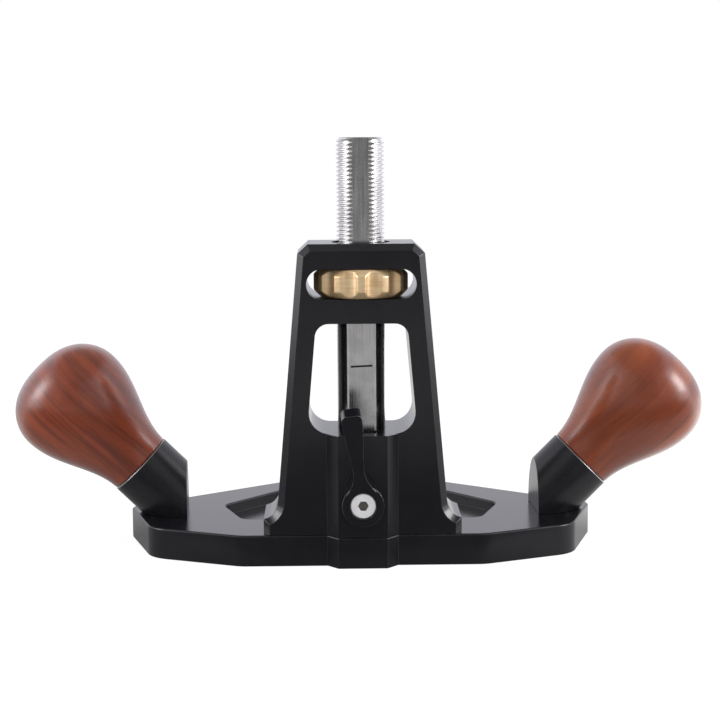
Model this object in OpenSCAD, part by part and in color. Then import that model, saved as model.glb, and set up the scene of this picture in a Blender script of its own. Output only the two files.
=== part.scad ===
// Hand router plane: a black base plate carries a column, a threaded post that a captive
// brass wheel raises and lowers, a lever-worked clamp, and two wooden knobs on slanted sockets.
// X runs across the knobs, Y runs from the front face of the column towards the back, Z is up.
// The origin lies on the sole, in the middle of the front face of the column.

/* [Base plate] */
// Thickness of the base plate
base_t = 10.5; // [9:0.5:14]
// Width of the straight front edge
base_front_w = 81.5; // [74:0.5:88]
// Width across the rounded front corners
base_shoulder_w = 143.5; // [138:0.5:150]
// Distance of the front corners behind the front edge
base_shoulder_y = 13; // [10:0.5:16]
// Width across the end tips
base_tip_w = 165; // [160:0.5:176]
// Distance of the end tips behind the front edge
base_tip_y = 46.5; // [44:0.5:50]
// Width of the straight back edge
base_back_w = 60; // [54:0.5:68]
// Depth of the plate from the front edge to the back edge
base_d = 86; // [84:0.5:96]
// Radius of the front corners
base_corner_r = 12; // [6:0.5:14]
// Radius of the end tips
base_tip_r = 5; // [3:0.5:7]
// Chamfer along the top edge
base_chamfer = 0.4; // [0.4:0.1:1.2]

/* [Pocket and mouth] */
// Depth of the pocket behind the column
pocket_t = 4; // [2:0.25:5]
// Width across the ends of the pocket
pocket_w = 98; // [92:0.5:102]
// Width of the pocket's straight front edge
pocket_front_w = 82; // [76:0.5:86]
// Width of the pocket's straight back edge
pocket_back_w = 52; // [46:0.5:56]
// How far the pocket reaches under the column
pocket_under = 2; // [1:0.25:3]
// Distance of the widest part of the pocket behind the front edge
pocket_tip_y = 47; // [44:0.5:50]
// Plate left between the pocket and the back edge
pocket_rim = 11; // [8:0.5:14]
// Width of the mouth that the cutter works in
mouth_w = 36; // [30:0.5:40]
// Length of the mouth behind the column
mouth_len = 34; // [31:0.5:36]
// Radius of the corners of the mouth and of the pocket
mouth_r = 5; // [3:0.5:7]

/* [Column] */
// Height of the column's top above the sole
tower_top = 107; // [105:0.5:112]
// Depth of the column from front to back
tower_d = 26; // [24:0.5:28]
// Width of the column at its top
tower_top_w = 41.2; // [40.5:0.1:44]
// Width of the column just above the base plate, without its feet
tower_low_w = 58.2; // [56:0.2:60]
// Width across the feet of the column
tower_foot_w = 66; // [64:0.5:68]
// Height of the feet above the base plate
tower_foot_h = 5; // [4:0.5:7]
// Radius between the feet and the sides of the column
tower_fillet_r = 6; // [5:0.5:8]
// Chamfer round the front and back outline of the column
tower_chamfer = 2.1; // [1:0.1:2.4]
// Cut at the two top corners of the column
tower_corner = 3.1; // [2.5:0.1:4]
// Height of the window's lower edge above the sole
window_low = 44.5; // [43:0.5:48]
// Height of the window's upper edge above the sole
window_top = 81; // [76:0.5:83]
// Thickness of the pillars beside the window
window_wall = 7.9; // [7:0.1:8.5]
// Radius of the upper corners of the window
window_r = 4.5; // [3:0.5:6]
// Radius of the lower corners of the window
window_low_r = 7; // [4:0.5:8]
// Width of the raised facet on the front
boss_w = 16.4; // [14:0.2:18]
// How far the facet stands out from the front
boss_out = 4.2; // [3.8:0.1:5]
// How far the facet's slanted sides run outwards
boss_run = 3.6; // [3:0.1:4.4]

/* [Post and wheel] */
// Diameter of the post
post_d = 16; // [14:0.5:16.5]
// Width of the flat down the front of the post
post_flat_w = 9; // [8:0.25:10]
// Height of the top of the post above the sole
post_top = 141.4; // [135:0.2:150]
// Height of the lower end of the post above the sole
post_low = 24; // [23:0.5:28]
// Distance from one thread crest to the next
thread_pitch = 1.41; // [1.2:0.01:1.6]
// Length of the thread from the top of the post
thread_len = 60; // [54:1.5:66]
// Diameter of the wheel
wheel_d = 31.4; // [29:0.2:32.4]
// Chamfer on the rims of the wheel
wheel_chamfer = 2.2; // [1.8:0.1:2.6]
// Number of finger flutes round the wheel
flute_count = 12; // [8:1:14]
// Radius of each flute
flute_r = 3.5; // [3:0.1:3.6]
// Depth of each flute
flute_t = 1.6; // [1:0.1:1.6]
// Width of the slot that holds the wheel
slot_w = 36; // [35:0.2:37]
// Height of the slot that holds the wheel
slot_h = 10; // [9:0.2:11]
// Height of the middle of the slot above the sole
slot_z = 93.9; // [93:0.2:96]
// Diameter of the hole in the top of the column
top_hole_d = 19.4; // [17.6:0.2:20]

/* [Clamp and lever] */
// Height of the lever's pivot above the sole
lever_z = 22.5; // [20:0.5:24]
// Diameter of the lever's hub
hub_d = 13.7; // [13:0.1:15]
// Thickness of the lever's hub
hub_t = 6; // [5.6:0.1:7]
// Length of the lever from its pivot to the tip
lever_len = 32.8; // [30:0.1:36]
// Width of the lever at its neck
lever_neck_w = 3.7; // [3.2:0.1:4.4]
// Width of the lever at its tip
lever_tip_w = 6.6; // [5.4:0.1:7]
// Radius of the corners at the lever's tip
lever_corner_r = 1.6; // [1:0.1:2.4]
// Thickness of the lever's arm
lever_arm_t = 5.6; // [4.6:0.2:5.8]
// Lean of the arm away from the column, in degrees
lever_lean = 18; // [12:1:22]
// Turn of the arm to the left at rest, in degrees
lever_turn = 7; // [0:1:15]
// Diameter of the clamp spindle's thread
spindle_d = 8; // [7.5:0.1:8.4]
// Diameter of the lever screw's head
lever_head_d = 8.1; // [7.2:0.1:8.2]
// Height of the lever screw's head
lever_head_t = 2.8; // [2.4:0.1:3]
// Diameter of the lever screw's shank
lever_screw_d = 4; // [3.5:0.1:4.4]
// Width of the clamp shoe
shoe_w = 9.3; // [8.8:0.1:10]
// Height of the clamp shoe
shoe_h = 26; // [22:0.5:28]
// Depth of the clamp pocket's front wall from the column's face
shoe_wall = 1; // [0.6:0.1:1.4]

/* [Cutter] */
// Diameter of the cutter's shank
shank_d = 8; // [6:0.25:8.5]
// Depth of the shank's seat in the post
shank_seat = 15; // [12:0.5:18]
// Width of the cutter's foot
cutter_w = 12.7; // [8:0.1:14]
// Thickness of the cutter's foot
cutter_t = 4; // [3:0.25:4.5]
// Reach of the cutting edge from the axis of the post
cutter_reach = 34; // [30:0.5:38]
// Height of the cutting edge above the sole at rest
cutter_lift = 0.5; // [0.2:0.1:1]
// Bevel angle of the cutting edge, in degrees
cutter_bevel = 30; // [20:1:35]
// Diameter of the grub screw in the post
grub_d = 5; // [4:0.5:6]

/* [Handles] */
// Diameter of the handle sockets
socket_d = 24; // [22:0.5:26]
// Length of a socket's axis from the base plate to the knob
socket_len = 24.7; // [23:0.1:28]
// Distance of each socket's axis inwards from the plate's end tip
socket_inset = 22; // [21.5:0.1:23]
// Distance of the sockets' axes behind the front edge
socket_y = 39; // [38:0.5:40]
// Set-in of a socket's flat inner face from its axis
socket_cut = 0.8; // [0:0.1:2]
// Slope of the sockets, in degrees from the base plate
socket_slope = 45; // [43:0.5:48]
// Turn of the left handle about its screw, in degrees, counter-clockwise from above
left_turn = 3.4; // [-4:0.1:4]
// Turn of the right handle about its screw, in degrees, counter-clockwise from above
right_turn = 2.1; // [-4:0.1:4]
// Chamfer at the rim of a socket
socket_rim = 0.4; // [0.2:0.1:0.8]
// Diameter of a knob at its neck
knob_neck_d = 23.6; // [21:0.2:24]
// Largest diameter of a knob
knob_d = 42; // [38:0.5:46]
// Length of a knob
knob_len = 49; // [46:0.5:56]
// Distance of a knob's largest diameter from its neck
knob_belly = 32.7; // [30:0.1:35]
// Diameter of the stud that joins a knob to its socket
stud_d = 8; // [6:0.5:8]
// Depth of the stud in the socket
stud_in = 12; // [10:0.5:12.5]
// Depth of the stud in the knob
stud_out = 20; // [16:0.5:22]
// Outside diameter of the brass insert in a knob
insert_d = 12; // [11:0.5:14]
// Length of the brass insert
insert_len = 22; // [22:0.5:26]

/* [Fasteners] */
// Diameter of the screws that hold the column
tower_screw_d = 6; // [5:0.5:6]
// Depth of those screws in the column
tower_screw_in = 18; // [12:0.5:22]
// Distance of those screws from the middle
tower_screw_x = 23; // [22:0.5:24]
// Distance of the front pair of screws behind the front edge
tower_screw_y = 6.5; // [6.25:0.25:7]
// Spacing of the front and back pair of screws
tower_screw_gap = 12.5; // [12:0.25:13]
// Diameter of the dowels under the column
dowel_d = 5; // [4:0.5:6]
// Depth of each dowel in the column, and in the plate
dowel_in = 6; // [5:0.5:7]
// Distance of the dowels from the middle
dowel_x = 14.5; // [14:0.25:15]
// Diameter of the screw that holds a socket
socket_screw_d = 6; // [5:0.5:6]
// Depth of that screw in the socket
socket_screw_in = 7; // [6:0.5:7]
// Distance of that screw outwards from the socket's axis
socket_screw_x = 6.5; // [6:0.25:7]

/* [Clearances] */
// Running clearance round turning and sliding pieces, at the radius
run_clear = 0.05; // [0.03:0.01:0.08]
// Clearance round fixed pins and in tapped holes, at the radius
fix_clear = 0.02; // [0.01:0.01:0.05]
// Clearance round a screw's shank where it passes through a plate, at the radius
pass_clear = 0.2; // [0.1:0.05:0.3]
// Clearance above and below the wheel in its slot
wheel_clear = 0.2; // [0.1:0.05:0.3]
// Gap between the clamp shoe and the post at rest
shoe_gap = 0.1; // [0.08:0.01:0.14]
// Gap behind the lever's hub and in front of the clamp shoe
clamp_gap = 0.45; // [0.4:0.05:0.6]
// Clearance round a flat head in its sinking, at the radius
head_clear = 0.1; // [0.06:0.02:0.16]
// How far screw heads lie inside the sole
head_sink = 0.3; // [0.2:0.1:0.6]
// How far the lever screw's head lies inside the hub
lever_head_sink = 0.4; // [0.2:0.1:0.6]

/* [Hidden] */
$fn = 64;
corner_steps = 8;
// How far a cutting shape runs past the surface that it cuts
eps = 0.5;

// Post and wheel
axis_y = tower_d/2;
post_r = post_d/2;
flat_r = sqrt(post_r*post_r - post_flat_w*post_flat_w/4);
flat_y = axis_y - flat_r;
post_chamfer = 1;
// Depth of a metric thread as a share of its pitch
thread_form = 0.6134;
thread_t = thread_form*thread_pitch;
thread_turns = floor((thread_len - post_chamfer - thread_pitch)/thread_pitch);
wheel_t = slot_h - 2*wheel_clear;
bore_d = post_d + 2*run_clear;
// Room round the post where the cutter passes through the plate
throat_room = 2;
throat_w = post_d + 2*throat_room;

// Column
tower_h = tower_top - base_t;
tower_taper = (tower_low_w - tower_top_w)/2/tower_h;
taper_angle = atan(tower_taper);
fillet_z = base_t + tower_foot_h + tower_fillet_r;
fillet_x = side_x(fillet_z) + tower_fillet_r/cos(taper_angle);
foot_x = min(tower_foot_w/2, fillet_x);
// Least run of the chamfer along the top of a foot, before the fillet's arc begins
foot_toe = 0.4;
boss_half = boss_w/2 + boss_run;
boss_slant = boss_run/boss_out;
// How far the plate's facet runs back into the plate
boss_root = 3;

// Clamp and lever, from the post's flat outwards to the lever's hub
shoe_back = flat_y - shoe_gap;
shoe_front = shoe_wall + clamp_gap;
shoe_floor = 3;
shoe_low = base_t + shoe_floor;
shoe_pocket_w = shoe_w + 2*run_clear;
pin_step = 1;
pin_d = spindle_d - 2*pin_step;
pin_in = 2;
hub_back = -boss_out - clamp_gap;
hub_front = hub_back - hub_t;
head_seat = hub_front + lever_head_sink + lever_head_t;
head_wall = 0.9;
head_room = 0.2;
drive_w = pin_d;
drive_len = hub_back - head_seat - head_wall;
lever_screw_in = 7;
lever_hex = 3;
// The arm leans from this distance above the pivot, and is rooted this far below that
arm_pivot = 4;
arm_root = 3;
arm_steps = 14;
// Width of the arm at its root as a share of the hub, and place of its neck as a share of its length
arm_flare = 0.72;
arm_neck = 0.36;

// Cutter
seat_top = post_low + shank_seat;
grub_z = post_low + shank_seat/2;
grub_front = axis_y + shank_d/2 - 0.6;
grub_back = axis_y + post_r - 0.5;
access_room = 0.75;
access_d = grub_d + 2*access_room;
// Length of the cutter's foot in front of the axis as a share of its shank
heel_share = 0.75;

// Handles
socket_x = base_tip_w/2 - socket_inset;
socket_top = [socket_x + socket_len*cos(socket_slope), socket_y, base_t + socket_len*sin(socket_slope)];
// Length of the bar that a socket is cut from
socket_bar = 3*socket_len;
screw_x = socket_x + socket_screw_x;
// Bends of a knob's flank and of its domed end
knob_swell = 0.95;
knob_dome = 0.82;
knob_steps = 20;

// Screws: radius of a flat head, and width and depth of a hexagon socket, as shares of the diameter
head_share = 0.93;
hex_share = 0.75;
hex_depth = 0.4;
hex_sides = 6;

// Half width of the column's side at a height above the sole
function side_x(z) = tower_low_w/2 - (z - base_t)*tower_taper;

// Both halves of an outline from its right half, which runs from the low or front end to the other
function both(half) =
    concat(half, [for (i = [len(half) - 1:-1:0]) [-half[i][0], half[i][1], half[i][2]]]);

// Points of an arc
function arc(c, r, a0, a1, n) = [for (i = [0:n]) let (a = a0 + (a1 - a0)*i/n) c + r*[cos(a), sin(a)]];

function unit(v) = v/norm(v);

// Arc that rounds corner p between its neighbours a and b, or p itself where r is 0
function round_corner(a, p, b, r) =
    r == 0 ? [p] :
    let (
        u = unit(a - p),
        v = unit(b - p),
        half = acos(u*v)/2,
        c = p + unit(u + v)*r/sin(half),
        from = p + u*r/tan(half) - c,
        to = p + v*r/tan(half) - c,
        a0 = atan2(from[1], from[0]),
        turn = atan2(from[0]*to[1] - from[1]*to[0], from*to)
    )
    arc(c, r, a0, a0 + turn, corner_steps);

// Outline of [x, y, radius] points with its corners rounded
function rounded(pts) =
    let (n = len(pts), xy = [for (p = pts) [p[0], p[1]]])
    [for (i = [0:n - 1]) each round_corner(xy[(i + n - 1)%n], xy[i], xy[(i + 1)%n], pts[i][2])];

// Outline moved inwards by d, or outwards where d is negative; the outline runs anticlockwise
function inset(pts, d) =
    let (n = len(pts))
    [for (i = [0:n - 1])
        let (
            e0 = unit(pts[i] - pts[(i + n - 1)%n]),
            e1 = unit(pts[(i + 1)%n] - pts[i]),
            n0 = [-e0[1], e0[0]],
            n1 = [-e1[1], e1[0]]
        )
        pts[i] + d*(n0 + n1)/(1 + n0*n1)];

// Solid through a stack of layers [height, inset] of one outline, from the lowest up. The outline is
// the same left and right, so its ends are closed by strips from each point to the one across from it.
module layered(outline, layers) {
    n = len(outline);
    last = (len(layers) - 1)*n;
    rings = [for (l = layers) each [for (p = inset(outline, l[1])) [p[0], p[1], l[0]]]];
    strips = [for (i = [0:n/2 - 2]) [i, i + 1, n - 2 - i, n - 1 - i]];
    sides = [for (k = [0:len(layers) - 2], i = [0:n - 1])
        [k*n + i, k*n + (i + 1)%n, (k + 1)*n + (i + 1)%n, (k + 1)*n + i]];
    // Faces are listed clockwise as seen from outside
    outer = concat(sides, [for (f = strips) f + last*[1, 1, 1, 1]]);
    polyhedron(points = rings, faces = concat(strips, [for (f = outer) [f[3], f[2], f[1], f[0]]]));
}

// Cylinder along Y from y0 to y1
module along_y(d, x, z, y0, y1, fn = 64) {
    translate([x, y1, z])
        rotate([90, 0, 0])
            cylinder(d = d, h = y1 - y0, $fn = fn);
}

// Flat-headed screw from just above the sole up to z1, grown all round by a clearance
module sole_screw(d, z1, grow) {
    shank_r = d/2 + grow;
    head_r = head_share*d + grow;
    rotate_extrude()
        polygon([
            [0, head_sink],
            [head_r, head_sink],
            [shank_r, head_sink + head_r - shank_r],
            [shank_r, z1],
            [0, z1]
        ]);
}

// Hexagon socket in the head of a flat-headed screw
module sole_screw_hex(d) {
    cylinder(d = hex_share*d, h = head_sink + hex_depth*d, $fn = hex_sides);
}

// Room for a flat-headed screw in the plate: the head's sinking and the shank's hole
module sole_screw_hole(d) {
    translate([0, 0, -eps])
        cylinder(r = head_share*d + head_clear, h = eps + head_sink);
    sole_screw(d, base_t + eps, head_clear);
    cylinder(r = d/2 + pass_clear, h = base_t + eps);
}

// Places of the four screws under the column
module at_tower_screws() {
    for (x = [-1, 1]*tower_screw_x, y = [tower_screw_y, tower_screw_y + tower_screw_gap])
        translate([x, y, 0])
            children();
}

// Places of the two dowels under the column
module at_tower_dowels() {
    for (x = [-1, 1]*dowel_x)
        translate([x, tower_screw_y + tower_screw_gap, base_t])
            children();
}

// Place of a right-hand socket's screw
module at_socket_screw() {
    translate([screw_x, socket_y, 0])
        children();
}

// Turns a right-hand handle about its socket's screw
module about_screw(turn) {
    translate([screw_x, socket_y, 0])
        rotate([0, 0, turn])
            translate([-screw_x, -socket_y, 0])
                children();
}

module on_right() {
    about_screw(right_turn)
        children();
}

module on_left() {
    mirror([1, 0, 0])
        about_screw(-left_turn)
            children();
}

// Frame of a right-hand handle: Z runs out along the axis from the rim of the socket
module at_handle() {
    translate(socket_top)
        rotate([0, 90 - socket_slope, 0])
            children();
}

module base_plate() {
    half = [
        [base_front_w/2, 0, base_corner_r],
        [base_shoulder_w/2, base_shoulder_y, base_corner_r],
        [base_tip_w/2, base_tip_y, base_tip_r],
        [base_back_w/2, base_d, base_tip_r]
    ];
    plate_layers = [[0, 0], [base_t - base_chamfer, 0], [base_t, base_chamfer]];
    boss = [
        [boss_w/2, -boss_out, 0],
        [boss_half + boss_slant*boss_root, boss_root, 0]
    ];
    pocket_half = [
        [pocket_front_w/2, tower_d - pocket_under, mouth_r],
        [pocket_w/2, pocket_tip_y, mouth_r],
        [pocket_back_w/2, base_d - pocket_rim, mouth_r]
    ];
    mouth_half = [
        [mouth_w/2, tower_d, mouth_r],
        [mouth_w/2, tower_d + mouth_len, mouth_r]
    ];
    color("#2a2a2e")
        difference() {
            for (outline = [half, boss])
                layered(rounded(both(outline)), plate_layers);
            layered(rounded(both(pocket_half)), [
                [base_t - pocket_t, 0],
                [base_t - base_chamfer, 0],
                [base_t + eps, -base_chamfer - eps]
            ]);
            translate([0, 0, -eps])
                linear_extrude(base_t + 2*eps)
                    polygon(rounded(both(mouth_half)));
            translate([0, axis_y, -eps])
                cylinder(d = throat_w, h = base_t + 2*eps);
            translate([-throat_w/2, axis_y, -eps])
                cube([throat_w, tower_d - axis_y + 2*mouth_r, base_t + 2*eps]);
            at_tower_screws() sole_screw_hole(tower_screw_d);
            at_tower_dowels()
                translate([0, 0, -dowel_in])
                    cylinder(d = dowel_d + 2*fix_clear, h = dowel_in + eps);
            for (side = [0, 1])
                mirror([side, 0, 0])
                    at_socket_screw() sole_screw_hole(socket_screw_d);
        }
}

module tower() {
    below = base_t - 2*tower_chamfer;
    a_corner = 180 + acos((fillet_x - foot_x)/tower_fillet_r);
    a_foot = 180 + acos((fillet_x - foot_x + tower_chamfer + foot_toe)/(tower_fillet_r + tower_chamfer));
    fillet = arc([fillet_x, fillet_z], tower_fillet_r, a_foot, 180 + taper_angle, corner_steps);
    right = concat(
        [[foot_x, below], [foot_x, fillet_z + tower_fillet_r*sin(a_corner)]],
        fillet,
        [
            [side_x(tower_top - tower_corner), tower_top - tower_corner],
            [side_x(tower_top) - tower_corner, tower_top]
        ]);
    left = [for (i = [len(right) - 1:-1:0]) [-right[i][0], right[i][1]]];
    window_half = [
        [side_x(window_low) - window_wall, window_low, window_low_r],
        [side_x(window_top) - window_wall, window_top, window_r]
    ];
    color("#242428")
        difference() {
            union() {
                translate([0, tower_d, 0])
                    rotate([90, 0, 0])
                        layered(concat(right, left), [
                            [0, tower_chamfer],
                            [tower_chamfer, 0],
                            [tower_d - tower_chamfer, 0],
                            [tower_d, tower_chamfer]
                        ]);
                translate([0, 0, base_t - eps])
                    linear_extrude(window_low - base_t + eps)
                        polygon([
                            [-boss_half - boss_slant*eps, eps],
                            [-boss_w/2, -boss_out],
                            [boss_w/2, -boss_out],
                            [boss_half + boss_slant*eps, eps]
                        ]);
            }
            translate([-tower_foot_w, -tower_d, base_t - tower_d])
                cube([2*tower_foot_w, 3*tower_d, tower_d]);
            translate([0, tower_d + eps, 0])
                rotate([90, 0, 0])
                    linear_extrude(tower_d + 2*eps)
                        polygon(rounded(both(window_half)));
            translate([-slot_w/2 + slot_h/2, -eps, slot_z - slot_h/2])
                cube([slot_w - slot_h, tower_d + 2*eps, slot_h]);
            for (x = [-1, 1]*(slot_w - slot_h)/2)
                along_y(slot_h, x, slot_z, -eps, tower_d + eps);
            translate([0, axis_y, base_t - eps])
                cylinder(d = bore_d, h = slot_z - base_t + eps);
            translate([0, axis_y, slot_z])
                cylinder(d = top_hole_d, h = tower_top);
            translate([-shoe_pocket_w/2, shoe_wall, shoe_low - run_clear])
                cube([shoe_pocket_w, axis_y - shoe_wall, window_low + eps - shoe_low]);
            along_y(spindle_d + 2*run_clear, 0, lever_z, -boss_out - eps, axis_y);
            along_y(access_d, 0, grub_z, axis_y, tower_d + eps);
            at_tower_screws() cylinder(d = tower_screw_d + 2*fix_clear, h = base_t + tower_screw_in);
            at_tower_dowels() cylinder(d = dowel_d + 2*fix_clear, h = dowel_in);
        }
}

module tower_screws() {
    color("#3a3a3c")
        at_tower_screws()
            difference() {
                sole_screw(tower_screw_d, base_t + tower_screw_in, 0);
                sole_screw_hex(tower_screw_d);
            }
}

module tower_dowels() {
    color("#b9bcc0")
        at_tower_dowels()
            translate([0, 0, -dowel_in])
                cylinder(d = dowel_d, h = 2*dowel_in);
}

module threaded_post() {
    thread_low = post_top - post_chamfer - thread_turns*thread_pitch;
    crest = thread_pitch/8;
    grooves = [for (i = [0:thread_turns - 1]) let (z = thread_low + i*thread_pitch) each [
        [post_r, z],
        [post_r - thread_t, z + thread_pitch/2 - crest],
        [post_r - thread_t, z + thread_pitch/2],
        [post_r, z + thread_pitch - crest]
    ]];
    end = [
        [post_r, post_top - post_chamfer],
        [post_r - post_chamfer, post_top],
        [0, post_top]
    ];
    color("#c6c8ca")
        difference() {
            translate([0, axis_y, 0])
                rotate_extrude()
                    polygon(concat([[0, post_low], [post_r, post_low]], grooves, end));
            translate([-post_d, flat_y - post_d, post_low - eps])
                cube([2*post_d, post_d, post_top - post_low + 2*eps]);
            translate([0, axis_y, post_low - eps])
                cylinder(d = shank_d + 2*fix_clear, h = shank_seat + eps);
            along_y(grub_d + 2*fix_clear, 0, grub_z, axis_y, axis_y + post_d);
        }
}

module adjuster_wheel() {
    color("#d9b878")
        translate([0, axis_y, slot_z - wheel_t/2])
            difference() {
                rotate_extrude()
                    polygon([
                        [bore_d/2, 0],
                        [wheel_d/2 - wheel_chamfer, 0],
                        [wheel_d/2, wheel_chamfer],
                        [wheel_d/2, wheel_t - wheel_chamfer],
                        [wheel_d/2 - wheel_chamfer, wheel_t],
                        [bore_d/2, wheel_t]
                    ]);
                for (i = [0:flute_count - 1])
                    rotate((i + 0.5)*360/flute_count - 90)
                        translate([wheel_d/2 - flute_t + flute_r, 0, -eps])
                            cylinder(r = flute_r, h = wheel_t + 2*eps);
            }
}

module clamp_shoe() {
    color("#9a9da0")
        difference() {
            translate([-shoe_w/2, shoe_front, shoe_low])
                cube([shoe_w, shoe_back - shoe_front, shoe_h]);
            along_y(pin_d + 2*run_clear, 0, lever_z, shoe_front - eps, shoe_front + pin_in + run_clear);
        }
}

module clamp_spindle() {
    color("#b4b7ba")
        difference() {
            union() {
                translate([-drive_w/2, hub_back - drive_len, lever_z - drive_w/2])
                    cube([drive_w, drive_len + clamp_gap/2, drive_w]);
                along_y(spindle_d, 0, lever_z, hub_back, shoe_front);
                along_y(pin_d, 0, lever_z, shoe_front - eps, shoe_front + pin_in);
            }
            along_y(lever_screw_d + 2*fix_clear, 0, lever_z, hub_front, head_seat + lever_screw_in + eps);
        }
}

module lock_lever() {
    tip_r = lever_tip_w/2;
    tip_s = lever_len - lever_corner_r;
    neck_s = arm_neck*lever_len;
    root_r = arm_flare*hub_d/2;
    neck_r = lever_neck_w/2;
    // Half width of the arm at a distance from the pivot: it narrows to the neck, then widens to the tip
    function arm_half(s) = s < neck_s
        ? neck_r + (root_r - neck_r)*pow((neck_s - s)/(neck_s - arm_pivot), 2)
        : neck_r + (tip_r - neck_r)*(1 - cos(180*(s - neck_s)/(tip_s - neck_s)))/2;
    flank = concat(
        [[root_r, arm_pivot - arm_root]],
        [for (i = [0:arm_steps]) let (s = arm_pivot + (tip_s - arm_pivot)*i/arm_steps) [arm_half(s), s]]);
    corner = [for (a = [15:15:90])
        [tip_r - lever_corner_r*(1 - cos(a)), tip_s + lever_corner_r*sin(a)]];
    tip = concat(corner, [for (i = [len(corner) - 1:-1:0]) [-corner[i][0], corner[i][1]]]);
    arm = concat(flank, tip, [for (i = [len(flank) - 1:-1:0]) [-flank[i][0], flank[i][1]]]);
    color("#2c2c30")
        difference() {
            union() {
                along_y(hub_d, 0, lever_z, hub_front, hub_back);
                translate([0, hub_front, lever_z])
                    rotate([0, -lever_turn, 0])
                        translate([0, 0, arm_pivot])
                            rotate([90 + lever_lean, 0, 0])
                                translate([0, -arm_pivot, -lever_arm_t])
                                    linear_extrude(lever_arm_t)
                                        polygon(arm);
            }
            along_y(lever_head_d + 2*head_room, 0, lever_z, hub_front - hub_d, head_seat);
            along_y(lever_screw_d + 2*pass_clear, 0, lever_z, head_seat - eps, hub_back);
            translate([0, hub_back, lever_z])
                cube([drive_w, 2*drive_len, drive_w] + 2*fix_clear*[1, 1, 1], center = true);
            translate([-hub_d, hub_back, lever_z - hub_d])
                cube([2*hub_d, hub_d, 2*hub_d + lever_len]);
        }
}

module lever_screw() {
    color("#d6d8da")
        difference() {
            union() {
                along_y(lever_head_d, 0, lever_z, head_seat - lever_head_t, head_seat);
                along_y(lever_screw_d, 0, lever_z, head_seat - eps, head_seat + lever_screw_in);
            }
            along_y(lever_hex/cos(30), 0, lever_z, hub_front - eps, head_seat - lever_head_t/2, hex_sides);
        }
}

module cutter() {
    low = cutter_lift;
    heel = heel_share*shank_d;
    bevel_len = cutter_t/tan(cutter_bevel);
    color("#a8abae")
        difference() {
            union() {
                translate([0, axis_y, low + cutter_t/2])
                    cylinder(d = shank_d, h = seat_top - low - cutter_t/2 - run_clear);
                translate([-cutter_w/2, axis_y, low])
                    rotate([90, 0, 90])
                        linear_extrude(cutter_w)
                            polygon([
                                [-heel, 0],
                                [cutter_reach, 0],
                                [cutter_reach - bevel_len, cutter_t],
                                [-heel, cutter_t]
                            ]);
            }
            translate([-shank_d, grub_front, post_low])
                cube([2*shank_d, shank_d, seat_top]);
        }
}

module cutter_grub_screw() {
    color("#3a3a3c")
        difference() {
            along_y(grub_d, 0, grub_z, grub_front, grub_back);
            along_y(hex_share*grub_d, 0, grub_z, (grub_front + grub_back)/2, grub_back + eps, hex_sides);
        }
}

module handle_socket() {
    color("#262629")
        difference() {
            at_handle() {
                translate([0, 0, -socket_bar])
                    cylinder(d = socket_d, h = socket_bar - socket_rim);
                translate([0, 0, -socket_rim])
                    cylinder(d1 = socket_d, d2 = socket_d - 2*socket_rim, h = socket_rim);
            }
            translate([0, socket_y - socket_d, base_t - socket_bar])
                cube([base_tip_w, 2*socket_d, socket_bar]);
            translate([socket_x + socket_cut - base_tip_w, socket_y - socket_d, base_t - socket_bar])
                cube([base_tip_w, 2*socket_d, 2*socket_bar]);
            at_handle()
                translate([0, 0, -stud_in - run_clear])
                    cylinder(d = stud_d + 2*fix_clear, h = stud_in + eps);
            at_socket_screw() cylinder(d = socket_screw_d + 2*fix_clear, h = base_t + socket_screw_in);
        }
}

module socket_screw() {
    color("#3a3a3c")
        at_socket_screw()
            difference() {
                sole_screw(socket_screw_d, base_t + socket_screw_in, 0);
                sole_screw_hex(socket_screw_d);
            }
}

module knob() {
    neck_r = knob_neck_d/2;
    belly_r = knob_d/2;
    dome = knob_len - knob_belly;
    // The flank swells from the neck to the belly in one smooth curve, and the end is a soft dome
    flank = [for (i = [0:knob_steps]) let (t = i/knob_steps)
        [neck_r + (belly_r - neck_r)*(1 - cos(180*pow(t, knob_swell)))/2, knob_belly*t]];
    end = [for (i = [1:knob_steps - 1]) let (a = 90*i/knob_steps)
        [belly_r*pow(cos(a), knob_dome), knob_belly + dome*sin(a)]];
    color("#8a4530")
        at_handle()
            difference() {
                rotate_extrude()
                    polygon(concat([[0, 0]], flank, end, [[0, knob_len]]));
                translate([0, 0, -eps])
                    cylinder(d = insert_d + 2*fix_clear, h = insert_len + eps);
            }
}

module knob_stud() {
    color("#b4b7ba")
        at_handle()
            translate([0, 0, -stud_in])
                cylinder(d = stud_d, h = stud_in + stud_out);
}

module knob_insert() {
    color("#c9a050")
        at_handle()
            difference() {
                cylinder(d = insert_d, h = insert_len);
                translate([0, 0, -eps])
                    cylinder(d = stud_d + 2*fix_clear, h = insert_len + 2*eps);
            }
}

base_plate();
tower();
tower_screws();
tower_dowels();
threaded_post();
adjuster_wheel();
clamp_shoe();
clamp_spindle();
lock_lever();
lever_screw();
cutter();
cutter_grub_screw();
on_left() handle_socket();  // handle_socket_left
on_right() handle_socket();  // handle_socket_right
on_left() socket_screw();  // socket_screw_left
on_right() socket_screw();  // socket_screw_right
on_left() knob();  // knob_left
on_right() knob();  // knob_right
on_left() knob_stud();  // knob_stud_left
on_right() knob_stud();  // knob_stud_right
on_left() knob_insert();  // knob_insert_left
on_right() knob_insert();  // knob_insert_right
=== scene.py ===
"""Looks of a hand router plane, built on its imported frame.

Sizes in the classes are millimetres in the part's frame: X across the knobs, Y from the column's front
face to the back, Z up from the sole. Meshes are made in metres, and the studio's sizes are metres too.
"""

import logging
import math
from dataclasses import dataclass, replace
from enum import Enum
from typing import Any, Callable, Sequence

import bmesh
import bpy
from mathutils import Matrix, Vector


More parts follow.
